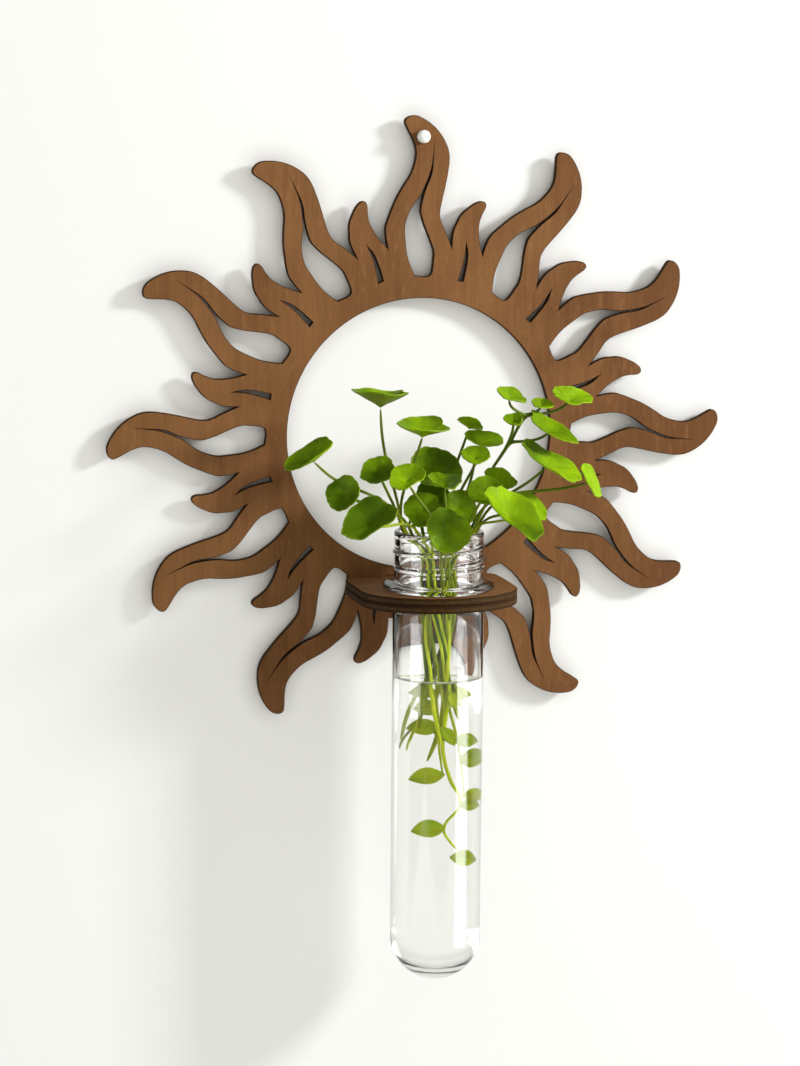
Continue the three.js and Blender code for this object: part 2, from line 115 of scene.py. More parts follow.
# Stage: the planes' size, the wall's place, how its own light shows, the reach and slit levels of the painted
# shade that dims it, the room's levels
PLANE = 4.0
WALL_GAP = 4 * MM
FLOOR_DROP = 0.6
WALL_GLOW = 0.42
SHADE_REACH = 10 * MM
SLIT_FROM, SLIT_TO = 0.5, 0.28
SEEN_ROOM, MIRRORED_ROOM = 0.95, 0.2

# Lights (width, height, place from what they aim at), the two places that they aim at, and the camera
KEY = (0.22, 0.22, Vector((1.06, -0.6, 0.57)))
WINDOW = (0.8, 2.4, Vector((1.14, -0.81, -0.1)))
CARD = (1.0, 0.8, Vector((-1.38, -0.24, 0)))
MIDDLE = Vector((0, -0.04, -0.18))
NECK = MIDDLE + Vector((0, 0, 0.11))
CAMERA = (-0.3399, -1.2834, 0.0339)
YAW, DIVE, ROLL = math.radians(14.5), math.radians(9), math.radians(0.5)

# Trailing shoots: the side on which each is held in the bunch, its points (across as shares of the tube's
# bore, and mm below the mouth), and its leaves (share of its line, way, facing, length, width)
HELD = 5.4 * MM
HELD_AT = (-36, -54)
LINE_STEPS = 50
SHOOTS = (
    (
        310,
        (
            (0.14, -0.1, -80), (0.08, -0.12, -96), (0.22, -0.15, -110), (0.42, -0.16, -121),
            (0.1, -0.2, -132), (0.22, -0.22, -138), (0.38, -0.2, -142),
        ),
        (
            (0.21, (0.3, -0.6, -0.4), (0.4, -0.85, 0.4), 8, 5),
            (0.3, (0.25, -0.4, -0.8), (0.3, -0.85, 0.4), 10, 5),
            (0.625, (1, -0.2, -0.3), (0, -0.85, 0.5), 8, 5),
            (0.75, (-1, -0.1, 0.05), (0, -0.85, 0.5), 12.5, 7.5),
            (1, (0.4, -0.16, -0.8), (0, -0.85, 0.5), 10, 7),
        ),
    ),
    (
        130,
        ((0, 0.04, -80), (0.04, -0.02, -97), (0.1, -0.06, -108)),
        (
            (0.38, (-0.7, -0.5, -0.5), (0.3, -0.9, 0.3), 10, 6),
            (0.46, (-0.8, -0.3, -0.5), (0.2, -0.9, 0.4), 9, 7),
            (0.57, (-1, -0.15, -0.35), (0.1, -0.9, 0.4), 12, 7),
            (0.62, (0.5, -0.6, -0.5), (-0.2, -0.9, 0.3), 8, 5),
            (1, (-1, -0.2, -0.1), (0, -0.85, 0.5), 13, 7),
        ),
    ),
    (
        50,
        ((0.24, 0.16, -76), (0.4, 0.14, -94), (0.48, 0.16, -108), (0.52, 0.16, -118)),
        (
            (0.34, (0.8, -0.4, -0.5), (0.1, -0.9, 0.3), 9, 6),
            (0.58, (0.8, -0.3, -0.6), (0.1, -0.9, 0.4), 8, 6),
            (0.72, (0.8, -0.3, 0), (-0.2, -0.85, 0.5), 9, 8),
            (1, (0.8, -0.2, -0.4), (0.2, -0.8, 0.5), 7, 6),
        ),
    ),
)


class WoodSettings(bpy.types.PropertyGroup):
    """Stained plywood of the sun and the shelf"""

    stain: bpy.props.FloatVectorProperty(
        name="Stain", description="Brown of the stained veneer", subtype="COLOR", default=(0.23, 0.106, 0.038)
    )
    dark_grain: bpy.props.FloatVectorProperty(
        name="Dark grain", description="Brown of the dark streaks", subtype="COLOR",
        default=(0.13, 0.054, 0.019),
    )
    fleck: bpy.props.FloatVectorProperty(
        name="Fleck", description="Brown of the pale flecks", subtype="COLOR", default=(0.35, 0.17, 0.068)
    )
    burnt: bpy.props.FloatVectorProperty(
        name="Burnt edge", description="Colour of the cut edge", subtype="COLOR",
        default=(0.032, 0.015, 0.004),
    )
    core: bpy.props.FloatVectorProperty(
        name="Edge core", description="Middle ply in the cut edge", subtype="COLOR",
        default=(0.075, 0.037, 0.01),
    )
    sun_arris: bpy.props.FloatProperty(
        name="Sun arris", description="Eased edge of the sun", unit="LENGTH", default=0.3 * MM
    )
    shelf_arris: bpy.props.FloatProperty(
        name="Shelf arris", description="Eased edge of the shelf's layers", unit="LENGTH", default=0.35 * MM
    )
    corner_angle: bpy.props.FloatProperty(
        name="Corner", description="Turn above which an outline keeps a corner", subtype="ANGLE",
        default=math.radians(55),
    )


class TubeSettings(bpy.types.PropertyGroup):
    """Clear tube vase and the water in it"""

    sides: bpy.props.IntProperty(name="Sides", description="Facets round the tube", default=128)
    wall: bpy.props.FloatProperty(
        name="Wall", description="Wall of the body", unit="LENGTH", default=1.8 * MM
    )
    base: bpy.props.FloatProperty(
        name="Base", description="Thickness at the bottom", unit="LENGTH", default=7 * MM
    )
    thread_height: bpy.props.FloatProperty(
        name="Thread height", description="How far the thread stands out", unit="LENGTH", default=0.8 * MM
    )
    thread_width: bpy.props.FloatProperty(
        name="Thread width", description="Width of the thread's ridge", unit="LENGTH", default=1.1 * MM
    )
    thread_pitch: bpy.props.FloatProperty(
        name="Thread pitch", description="Rise of the thread in one turn", unit="LENGTH", default=5.6 * MM
    )
    water_depth: bpy.props.FloatProperty(
        name="Water below flange", description="Water level under the flange", unit="LENGTH",
        default=39.5 * MM,
    )
    clear: bpy.props.FloatVectorProperty(
        name="Plastic", description="Tint of the clear plastic", subtype="COLOR",
        default=(0.985, 0.992, 0.988),
    )
    water: bpy.props.FloatVectorProperty(
        name="Water", description="Tint of the water", subtype="COLOR",
        default=(0.988, 0.997, 0.985),
    )


class PlantSettings(bpy.types.PropertyGroup):
    """Leaves and stalks of the cuttings"""

    bright: bpy.props.FloatVectorProperty(
        name="Bright leaf", description="Young leaf", subtype="COLOR", default=(0.245, 0.42, 0.002)
    )
    deep: bpy.props.FloatVectorProperty(
        name="Deep leaf", description="Old leaf", subtype="COLOR", default=(0.064, 0.13, 0.0)
    )
    underside: bpy.props.FloatVectorProperty(
        name="Underside", description="Underside of a leaf", subtype="COLOR", default=(0.3, 0.48, 0.001)
    )
    vein: bpy.props.FloatVectorProperty(
        name="Vein", description="Veins and rim", subtype="COLOR", default=(0.34, 0.48, 0.02)
    )
    stalk: bpy.props.FloatVectorProperty(
        name="Stalk", description="Stalks in the air", subtype="COLOR", default=(0.14, 0.2, 0.01)
    )
    wet_stalk: bpy.props.FloatVectorProperty(
        name="Wet stalk", description="Stalks in the tube", subtype="COLOR", default=(0.45, 0.51, 0.008)
    )
    wet_leaf: bpy.props.FloatVectorProperty(
        name="Wet leaf", description="Leaves in the water", subtype="COLOR", default=(0.24, 0.42, 0.001)
    )
    blade_thickness: bpy.props.FloatProperty(
        name="Blade", description="Thickness of a blade", unit="LENGTH", default=0.5 * MM
    )
    scallop: bpy.props.FloatProperty(
        name="Scallop", description="Depth of the rim's scallops, as a share of the leaf", subtype="FACTOR",
        default=0.04,
    )
    cup: bpy.props.FloatProperty(
        name="Cup", description="Rise of the rim, as a share of the leaf's width", subtype="FACTOR",
        default=0.25,
    )


class StageSettings(bpy.types.PropertyGroup):
    """Wall, floor, light and camera"""

    wall: bpy.props.FloatVectorProperty(
        name="Wall", description="Pale wall and floor", subtype="COLOR", default=(0.86, 0.857, 0.848)
    )
    key: bpy.props.FloatProperty(
        name="Key light", description="Soft light from the right", unit="POWER", default=23
    )
    window: bpy.props.FloatProperty(
        name="Window", description="Tall window on the right, seen in the tube", unit="POWER", default=34
    )
    card: bpy.props.FloatProperty(
        name="Card", description="White card on the left, seen in the tube", unit="POWER", default=16
    )
    ambient: bpy.props.FloatProperty(name="Ambient", description="Light from all round", default=0.58)
    lens: bpy.props.FloatProperty(
        name="Lens", description="Focal length", subtype="DISTANCE_CAMERA", default=101.3
    )


def pick(piece):
    """Makes one object the only selected one."""
    bpy.ops.object.select_all(action="DESELECT")
    piece.select_set(True)
    bpy.context.view_layer.objects.active = piece


def doubled(piece):
    """A copy of one object."""
    pick(piece)
    bpy.ops.object.duplicate()
    return bpy.context.object


def edit_all():
    """Enters edit mode with the whole mesh selected."""
    bpy.ops.object.mode_set(mode="EDIT")
    bpy.ops.mesh.select_all(action="SELECT")


def copy_of(node, name):
    """A loose copy of a CAD node, with its triangles joined."""
    piece = doubled(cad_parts[node])
    piece.name = name
    piece.data.name = name
    piece.parent = None
    for key in list(piece.keys()):
        del piece[key]
    piece.data.materials.clear()
    edit_all()
    bpy.ops.mesh.remove_doubles(threshold=1e-6)
    bpy.ops.object.mode_set(mode="OBJECT")
    return piece


def tidy_faces(piece, angle):
    """Joins doubles, turns all faces outwards and smooths all but sharp edges."""
    pick(piece)
    edit_all()
    bpy.ops.mesh.remove_doubles(threshold=2e-6)
    bpy.ops.mesh.normals_make_consistent(inside=False)
    bpy.ops.object.mode_set(mode="OBJECT")
    bpy.ops.object.shade_smooth_by_angle(angle=math.radians(angle))


def apply_modifier(piece, kind, **values):
    """Adds one modifier and applies it."""
    pick(piece)
    modifier = piece.modifiers.new(kind, kind)
    for key, value in values.items():
        setattr(modifier, key, value)
    bpy.ops.object.modifier_apply(modifier=modifier.name)


def dress(piece, body, slot, materials, *nodes):
    """Gives a piece its finish and body, and lets it stand for its CAD nodes. The slot is not used."""
    for material in materials:
        piece.data.materials.append(material)
    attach(piece, body)
    if nodes:
        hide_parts(*nodes)


class Finish:
    """One material's or world's nodes, added from its coordinates on to its shader."""

    def __init__(self, name, kind="materials", shader="Principled BSDF"):
        self.material = getattr(bpy.data, kind).new(name)
        self.material.use_nodes = True
        self.tree = self.material.node_tree
        self.shader = self.tree.nodes[shader]

    def add(self, kind, inputs=None, **values):
        """One node: values are its settings, and inputs its sockets, each a value or another socket."""
        node = self.tree.nodes.new(kind)
        for key, value in values.items():
            setattr(node, key, value)
        for key, value in (inputs or {}).items():
            self.feed(node.inputs[key], value)
        return node

    def feed(self, socket, value):
        if isinstance(value, bpy.types.NodeSocket):
            self.tree.links.new(value, socket)
        else:
            socket.default_value = value

    def shade(self, **inputs):
        """Sockets of the shader, with spaces for underscores."""
        for key, value in inputs.items():
            self.feed(self.shader.inputs[key.replace("_", " ")], value)

    def place(self, output="Object"):
        return self.add("ShaderNodeTexCoord").outputs[output]

    def axis(self, index, output="Object"):
        return self.add("ShaderNodeSeparateXYZ", {0: self.place(output)}).outputs[index]

    def stretched(self, scale):
        return self.add("ShaderNodeMapping", {"Vector": self.place(), "Scale": scale}).outputs[0]

    def noise(self, vector, scale, detail=3.0, roughness=0.55):
        sockets = {"Vector": vector, "Scale": scale, "Detail": detail, "Roughness": roughness}
        return self.add("ShaderNodeTexNoise", sockets).outputs["Fac"]

    def math(self, operation, a, b=0.0, c=0.0):
        return self.add("ShaderNodeMath", {0: a, 1: b, 2: c}, operation=operation).outputs[0]

    def times(self, a, b):
        return self.math("MULTIPLY", a, b)

    def spread(self, value, low, high, to_low=0.0, to_high=1.0):
        sockets = {"Value": value, "From Min": low, "From Max": high, "To Min": to_low, "To Max": to_high}
        return self.add("ShaderNodeMapRange", sockets).outputs[0]

    def mix(self, share, a, b):
        node = self.tree.nodes.new("ShaderNodeMix")
        node.data_type = "RGBA"
        for socket, value in zip((node.inputs[0], node.inputs[6], node.inputs[7]), (share, a, b)):
            self.feed(socket, value)
        return node.outputs[2]

    def bump(self, height, distance, strength):
        sockets = {"Height": height, "Distance": distance, "Strength": strength}
        self.shade(Normal=self.add("ShaderNodeBump", sockets).outputs[0])


def opaque(colour):
    return (*colour, 1.0)


def along_grain(grain, share):
    """Scales that draw a pattern out along the grain."""
    scale = [1.0, 1.0, 1.0]
    scale[grain] = share
    return scale


def stained_plywood(name, wood, across, grain, low, high):
    """Brown veneer with streaks, flecks and pores, and a burnt edge with three plies; the colour also darkens
    towards the right.
    """
    finish = Finish(name)
    long, short, fleck = (along_grain(grain, share) for share in (0.05, 0.09, 0.3))
    streaks = finish.noise(finish.stretched(long), 330.0, 4.0, 0.6)
    fibres = finish.noise(finish.stretched(long), 1500.0, 2.0)
    blotches = finish.noise(finish.place(), 24.0, 2.0)
    pores = finish.spread(finish.noise(finish.stretched(short), 1900.0, 2.0), 0.62, 0.74)
    figure = finish.noise(finish.stretched(short), 260.0, 3.0)
    tone = finish.math("MULTIPLY_ADD", streaks, 0.55, finish.math("MULTIPLY_ADD", fibres, 0.3, blotches))
    tone = finish.math("MULTIPLY_ADD", figure, 0.5, tone)
    to_right = finish.spread(finish.axis(X), 40 * MM, 110 * MM, 0.0, 0.4)
    dark = finish.spread(finish.math("ADD", tone, to_right), 0.9, 1.56)
    veneer = finish.mix(dark, opaque(wood.stain), opaque(wood.dark_grain))
    flecks = finish.spread(finish.noise(finish.stretched(fleck), 520.0, 2.0), 0.58, 0.74, 0.0, 0.24)
    veneer = finish.mix(flecks, veneer, opaque(wood.fleck))
    veneer = finish.mix(finish.times(pores, 0.55), veneer, opaque(wood.dark_grain))
    normal = finish.axis(across, "Normal")
    face = finish.spread(finish.math("ABSOLUTE", normal), 0.86, 0.9)
    depth = finish.axis(across)
    from_middle = finish.math("ABSOLUTE", finish.math("SUBTRACT", depth, (low + high) / 2))
    core = finish.spread(from_middle, (high - low) * 0.2, (high - low) * 0.14)
    scorch = finish.spread(finish.noise(finish.place(), 420.0, 3.0), 0.35, 0.65, 0.2, 1.0)
    edge = finish.mix(finish.times(core, scorch), opaque(wood.burnt), opaque(wood.core))
    rough = finish.spread(streaks, 0.3, 0.7, 0.55, 0.7)
    finish.shade(Base_Color=finish.mix(face, edge, veneer), Roughness=rough, Specular_IOR_Level=0.05)
    relief = finish.math("SUBTRACT", finish.times(fibres, 0.5), pores)
    finish.bump(relief, 0.05 * MM, 0.5)
    return finish.material


def white_plastic():
    """Glossy white of the nail's head, with a faint unevenness."""
    finish = Finish("white_plastic")
    cloud = finish.noise(finish.place(), 600.0)
    finish.shade(
        Base_Color=finish.mix(cloud, (0.88, 0.87, 0.84, 1.0), (0.8, 0.79, 0.76, 1.0)),
        Roughness=finish.spread(cloud, 0.3, 0.7, 0.22, 0.34),
    )
    return finish.material


def nail_steel():
    """Drawn steel wire, with fine lines along it."""
    finish = Finish("nail_steel")
    lines = finish.noise(finish.stretched((1.0, 0.05, 1.0)), 4000.0)
    finish.shade(
        Base_Color=finish.mix(lines, (0.5, 0.5, 0.51, 1.0), (0.34, 0.34, 0.35, 1.0)),
        Metallic=1.0,
        Roughness=finish.spread(lines, 0.3, 0.7, 0.25, 0.4),
    )
    return finish.material


def clear_plastic(tube):
    """Clear moulded plastic, with the faint waviness that moulding leaves."""
    finish = Finish("clear_plastic")
    waves = finish.noise(finish.stretched((1.0, 1.0, 0.25)), 90.0, 1.0)
    haze = finish.noise(finish.place(), 40.0)
    finish.shade(
        Base_Color=finish.mix(haze, opaque(tube.clear), (1.0, 1.0, 1.0, 1.0)),
        Roughness=finish.spread(haze, 0.3, 0.7, 0.0, 0.02),
        IOR=1.5,
        Transmission_Weight=1.0,
    )
    finish.bump(waves, 0.05 * MM, 0.3)
    return finish.material


def tap_water(tube):
    """Water with a trace of green from the plants."""
    finish = Finish("tap_water")
    cloud = finish.noise(finish.place(), 60.0)
    finish.shade(
        Base_Color=finish.mix(cloud, opaque(tube.water), (1.0, 1.0, 1.0, 1.0)),
        Roughness=finish.spread(cloud, 0.3, 0.7, 0.0, 0.01),
        IOR=1.33,
        Transmission_Weight=1.0,
    )
    return finish.material


def water_rim():
    """Water that climbs the wall, with a painted highlight: a pale line where it gathers the light."""
    finish = Finish("water_rim")
    cloud = finish.noise(finish.place(), 160.0)
    finish.shade(
        Base_Color=finish.mix(cloud, (0.95, 0.97, 0.82, 1.0), (0.85, 0.9, 0.62, 1.0)),
        Roughness=0.15,
        IOR=1.33,
        Transmission_Weight=0.55,
    )
    return finish.material


def leaf_skin(name, young, old, vein_colour, gloss):
    """Leaf with veins that spread from the stalk, on the leaf's own flat map, and painted light that makes
    leaves to the right and high up brighter.
    """
    finish = Finish(name)
    uv = finish.add("ShaderNodeUVMap", uv_map="leaf").outputs[0]
    flat = finish.add("ShaderNodeVectorMath", {0: uv, 1: (-0.5, -0.5, 0.0)}, operation="ADD").outputs[0]
    parts = finish.add("ShaderNodeSeparateXYZ", {0: flat}).outputs
    length = finish.add("ShaderNodeVectorMath", {0: flat}, operation="LENGTH").outputs["Value"]
    reach = finish.times(length, 2.0)
    angle = finish.math("ARCTAN2", parts[1], parts[0])
    wander = finish.times(finish.math("SUBTRACT", finish.noise(uv, 9.0, 2.0), 0.5), 0.35)
    turn = finish.times(finish.math("ADD", angle, wander), 4.5)
    wave = finish.math("ABSOLUTE", finish.math("SINE", turn))
    width = finish.math("MULTIPLY_ADD", reach, -0.1, 0.16)
    vein = finish.math("SUBTRACT", 1.0, finish.spread(finish.math("DIVIDE", wave, width), 0.2, 1.0))
    fine = finish.spread(finish.noise(uv, 60.0, 3.0), 0.5, 0.62)
    rim = finish.spread(reach, 0.92, 1.0)
    leafwise = finish.noise(finish.place(), 42.0, 1.0)
    blotch = finish.noise(uv, 5.0, 3.0)
    # Painted light: leaves to the right and high up are painted brighter, over their own random tone
    right = finish.spread(finish.axis(X), 0.0, 34 * MM, 0.0, 1.3)
    high = finish.spread(finish.axis(Z), MOUTH, MOUTH + 45 * MM, 0.0, 0.7)
    painted_sun = finish.math("ADD", right, high)
    age_and_painted_sun = finish.math("MULTIPLY_ADD", leafwise, 1.2, finish.times(blotch, 0.45))
    age_and_painted_sun = finish.math("MULTIPLY_ADD", painted_sun, -0.15, age_and_painted_sun)
    colour = finish.mix(finish.spread(age_and_painted_sun, 0.44, 0.9), opaque(young), opaque(old))
    light = finish.math("MAXIMUM", finish.times(vein, 0.14), finish.times(rim, 0.24))
    colour = finish.mix(light, colour, opaque(vein_colour))
    colour = finish.mix(finish.times(fine, 0.16), colour, opaque(vein_colour))
    finish.shade(
        Base_Color=colour,
        Roughness=finish.spread(blotch, 0.3, 0.7, 0.3, 0.42),
        Specular_IOR_Level=gloss,
        Subsurface_Weight=0.25,
        Subsurface_Radius=(0.6, 1.0, 0.1),
        Subsurface_Scale=0.6 * MM,
    )
    relief = finish.math("SUBTRACT", finish.times(fine, 0.25), vein)
    finish.bump(relief, 0.3 * MM, 0.8)
    return finish.material


def stalk_skin(plant, name, tone, shaded):
    """Smooth stalk, yellower in the tube, with darker lengths, and shaded above the water."""
    finish = Finish(name)
    height = finish.axis(Z)
    in_air = finish.spread(height, MOUTH - 4 * MM, MOUTH + 12 * MM)
    lengths = finish.noise(finish.stretched((1.0, 1.0, 0.2)), 190.0, 2.0)
    fibres = finish.noise(finish.stretched((1.0, 1.0, 0.06)), 2600.0, 2.0)
    wet = [tone * level for level in plant.wet_stalk]
    colour = finish.mix(in_air, opaque(wet), opaque(plant.stalk))
    # Painted shade: from the water line up the stalks are darkened by their shaded share, less so above the
    # mouth
    painted_shade_above_water = finish.spread(height, FLANGE - 44 * MM, FLANGE - 36 * MM, 0.0, shaded)
    dark_lengths_and_painted_shade = finish.math("ADD", finish.spread(lengths, 0.42, 0.62, 0.0, 0.35), painted_shade_above_water)
    shade = finish.math("MULTIPLY_ADD", in_air, -0.5, dark_lengths_and_painted_shade)
    colour = finish.mix(shade, colour, opaque(plant.deep))
    finish.shade(
        Base_Color=colour,
        Roughness=finish.spread(fibres, 0.3, 0.7, 0.32, 0.5),
        Specular_IOR_Level=0.08,
        Subsurface_Weight=0.2,
        Subsurface_Radius=(0.6, 1.0, 0.15),
        Subsurface_Scale=0.8 * MM,
    )
    finish.bump(fibres, 0.04 * MM, 0.5)
    return finish.material


def keep_rim(piece, across, level):
    """Leaves only the outline of the face at one level."""
    pick(piece)
    bpy.ops.object.mode_set(mode="EDIT")
    bpy.ops.mesh.select_mode(type="FACE")
    bpy.ops.mesh.select_all(action="DESELECT")
    bpy.ops.object.mode_set(mode="OBJECT")
    for polygon in piece.data.polygons:
        off_level = abs(polygon.center[across] - level) > 1e-5
        polygon.select = off_level or abs(polygon.normal[across]) < 0.9
    bpy.ops.object.mode_set(mode="EDIT")
    bpy.ops.mesh.delete(type="FACE")
    bpy.ops.mesh.select_all(action="SELECT")
    bpy.ops.mesh.region_to_loop()
    bpy.ops.mesh.select_all(action="INVERT")
    bpy.ops.mesh.delete(type="EDGE_FACE")
    bpy.ops.object.mode_set(mode="OBJECT")


def smooth_outline(curve, corner_angle):
    """Draws each outline as a smooth curve that keeps its sharp corners."""
    bpy.ops.object.mode_set(mode="EDIT")
    bpy.ops.curve.select_all(action="SELECT")
    bpy.ops.curve.spline_type_set(type="BEZIER")
    bpy.ops.curve.handle_type_set(type="AUTOMATIC")
    bpy.ops.curve.select_all(action="DESELECT")
    for spline in curve.splines:
        points = spline.bezier_points
        for index, point in enumerate(points):
            before = point.co - points[index - 1].co
            after = points[(index + 1) % len(points)].co - point.co
            if before.angle(after) > corner_angle:
                point.select_control_point = point.select_left_handle = point.select_right_handle = True
    bpy.ops.curve.handle_type_set(type="VECTOR")
    bpy.ops.object.mode_set(mode="OBJECT")


def cut_board(node, name, across, arris, corner_angle):
    """A flat sheet with a node's outline, drawn smooth and with its arrises eased."""
    low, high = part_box(node)
    piece = copy_of(node, name)
    keep_rim(piece, across, high[across])
    bpy.ops.object.convert(target="CURVE")
    piece = bpy.context.object
    lay_flat = Matrix.Rotation(math.radians(90), 4, "X").inverted() if across == Y else Matrix.Identity(4)
    curve = piece.data
    curve.transform(lay_flat)
    curve.dimensions = "2D"
    curve.fill_mode = "BOTH"
    curve.resolution_u = 5
    smooth_outline(curve, corner_angle)
    curve.offset = -arris
    curve.bevel_depth = arris
    curve.bevel_resolution = 0
    curve.extrude = (high[across] - low[across]) / 2 - arris
    bpy.ops.object.convert(target="MESH")
    piece = bpy.context.object
    middle = Vector((0, 0, 0))
    middle[across] = (low[across] + high[across]) / 2
    piece.data.transform(Matrix.Translation(middle) @ lay_flat.inverted())
    tidy_faces(piece, 20)
    return piece


def spun(name, profile, sides):
    """A solid turned about the tube's axis: one ring extruded from each point of the profile to the next."""
    bpy.ops.object.select_all(action="DESELECT")
    radius, height = profile[0]
    bpy.ops.mesh.primitive_circle_add(vertices=sides, radius=radius)
    piece = bpy.context.object
    piece.name = name
    piece.data.name = name
    piece.data.transform(Matrix.Translation((AXIS.x, AXIS.y, height)))
    edit_all()
    for next_radius, next_height in profile[1:]:
        bpy.ops.mesh.extrude_edges_move(TRANSFORM_OT_translate={"value": (0, 0, next_height - height)})
        share = next_radius / radius
        bpy.ops.transform.resize(value=(share, share, 1), center_override=(AXIS.x, AXIS.y, next_height))
        radius, height = next_radius, next_height
    bpy.ops.mesh.merge(type="CENTER")
    bpy.ops.mesh.select_non_manifold(extend=False)
    bpy.ops.mesh.merge(type="CENTER")
    bpy.ops.object.mode_set(mode="OBJECT")
    return piece


def bell(value, width):
    """A bell curve that is one at nought."""
    return math.exp(-((value / width) ** 2))


def arc(centre, radius, rise, start, end, steps):
    """Profile points on an ellipse whose middle is on the axis at one height."""
    angles = [math.radians(start + (end - start) * step / steps) for step in range(steps + 1)]
    return [(radius * math.cos(a), centre + rise * math.sin(a)) for a in angles]


def tube_profile(tube):
    """The tube's wall from its lowest point up outside, over the lip and down inside."""
    inner = BODY_RADIUS - tube.wall
    bore = NECK_RADIUS - NECK_WALL
    profile = [(POLE, TUBE_LOW.z)]
    profile += arc(BOWL, BODY_RADIUS, BODY_RADIUS, POLE_ANGLE, 0, OUTER_STEPS)
    profile += [(BODY_RADIUS, FLANGE - 60 * MM), (BODY_RADIUS, FLANGE - FILLET)]
    profile.append((BODY_RADIUS + FILLET, FLANGE))
    for angle in range(-90, 91, 30):
        turn = math.radians(angle)
        inset = FLANGE_HALF * (1 - math.cos(turn))
        profile.append((FLANGE_RADIUS - inset, FLANGE + FLANGE_HALF * (1 + math.sin(turn))))
    foot = FLANGE + 2 * FLANGE_HALF + FILLET
    profile += [(NECK_RADIUS + FILLET, FLANGE + 2 * FLANGE_HALF), (NECK_RADIUS, foot)]
    top = MOUTH - LIP_RISE
    for step in range(1, NECK_STEPS + 1):
        profile.append((NECK_RADIUS, foot + (top - foot) * step / NECK_STEPS))
    lip = (NECK_RADIUS + bore) / 2
    for angle in range(30, 181, 30):
        turn = math.radians(angle)
        profile.append((lip + NECK_WALL / 2 * math.cos(turn), top + LIP_RISE * math.sin(turn)))
    ease = 0.2 * MM
    inside = ((bore, -2), (bore, 0), (bore + ease, 1.5), (inner - ease, 4.5), (inner, 6), (inner, 60))
    profile += [(radius, FLANGE - below * MM) for radius, below in inside]
    profile += arc(BOWL, inner, BODY_RADIUS - tube.base, 0, POLE_ANGLE, BOWL_STEPS)
    profile.append((POLE, BOWL - BODY_RADIUS + tube.base))
    return profile


def raise_thread(piece, tube):
    """Raises two beads, and a screw thread that fades in and out, on the outside of the neck."""
    for vertex in piece.data.vertices:
        side = vertex.co - AXIS
        radius = math.hypot(side.x, side.y)
        height = vertex.co.z - FLANGE
        if radius < NECK_RADIUS - 0.3 * MM or not BEADED_BAND[0] < height < BEADED_BAND[1]:
            continue
        lift = sum(rise * bell(height - at, half) for rise, at, half in BEADS)
        turn = (math.atan2(side.y, side.x) / (2 * math.pi) + THREAD_PHASE) % 1.0
        for along in (turn, turn + 1):
            if along > THREAD_TURNS:
                continue
            fade = min(1.0, along / THREAD_FADE, (THREAD_TURNS - along) / THREAD_FADE)
            off = height - THREAD_START - along * tube.thread_pitch
            lift += fade * tube.thread_height * math.exp(-((off / (0.6 * tube.thread_width)) ** 4))
        share = 1 + lift / radius
        vertex.co.x = AXIS.x + side.x * share
        vertex.co.y = AXIS.y + side.y * share


def leaf_blank(sides, rings):
    """A flat round leaf of radius one, with its flat map."""
    bpy.ops.object.select_all(action="DESELECT")
    bpy.ops.mesh.primitive_circle_add(vertices=sides, radius=1.0)
    blank = bpy.context.object
    edit_all()
    for ring in range(rings - 1, 0, -1):
        share = ring / (ring + 1)
        bpy.ops.mesh.extrude_edges_move()
        bpy.ops.transform.resize(value=(share, share, 1), center_override=(0, 0, 0))
    bpy.ops.mesh.extrude_edges_move()
    bpy.ops.mesh.merge(type="CENTER")
    bpy.ops.mesh.select_all(action="SELECT")
    bpy.ops.mesh.normals_make_consistent(inside=False)
    bpy.ops.object.mode_set(mode="OBJECT")
    mesh = blank.data
    if mesh.polygons[0].normal.z < 0:
        mesh.flip_normals()
    flat_map = mesh.uv_layers.new(name="leaf")
    for loop in mesh.loops:
        place = mesh.vertices[loop.vertex_index].co
        flat_map.data[loop.index].uv = (0.5 + place.x / 2, 0.5 + place.y / 2)
    return blank


def blade_frame(node, stem):
    """A blade's middle, its axes (outwards, across, up) and half sizes, from its CAD node."""
    spots = np.unique(np.round([v.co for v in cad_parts[node].data.vertices], 6), axis=0)
    middle = spots.mean(0)
    _, ways = np.linalg.eigh(np.cov((spots - middle).T))
    up = Vector(ways[:, 0])
    out = Vector(ways[:, 2])
    flat = (spots - middle) - np.outer((spots - middle) @ np.array(up), np.array(up))
    near = np.linalg.norm(flat, axis=1) < 0.5 * MM
    centre = Vector(spots[near].mean(0))
    if (Vector(middle) - centre).dot(up) < 0:
        up.negate()
    away = centre - stem
    away.z = 0
    away -= up * away.dot(up)
    if stem == AXIS:
        out = away.normalized()
    elif out.dot(away) < 0:
        out.negate()
    across = up.cross(out).normalized()
    spread = spots - np.array(centre)
    length = float(np.abs(spread @ np.array(out)).max())
    width = float(np.abs(spread @ np.array(across)).max())
    return centre, out, across, up, length, width


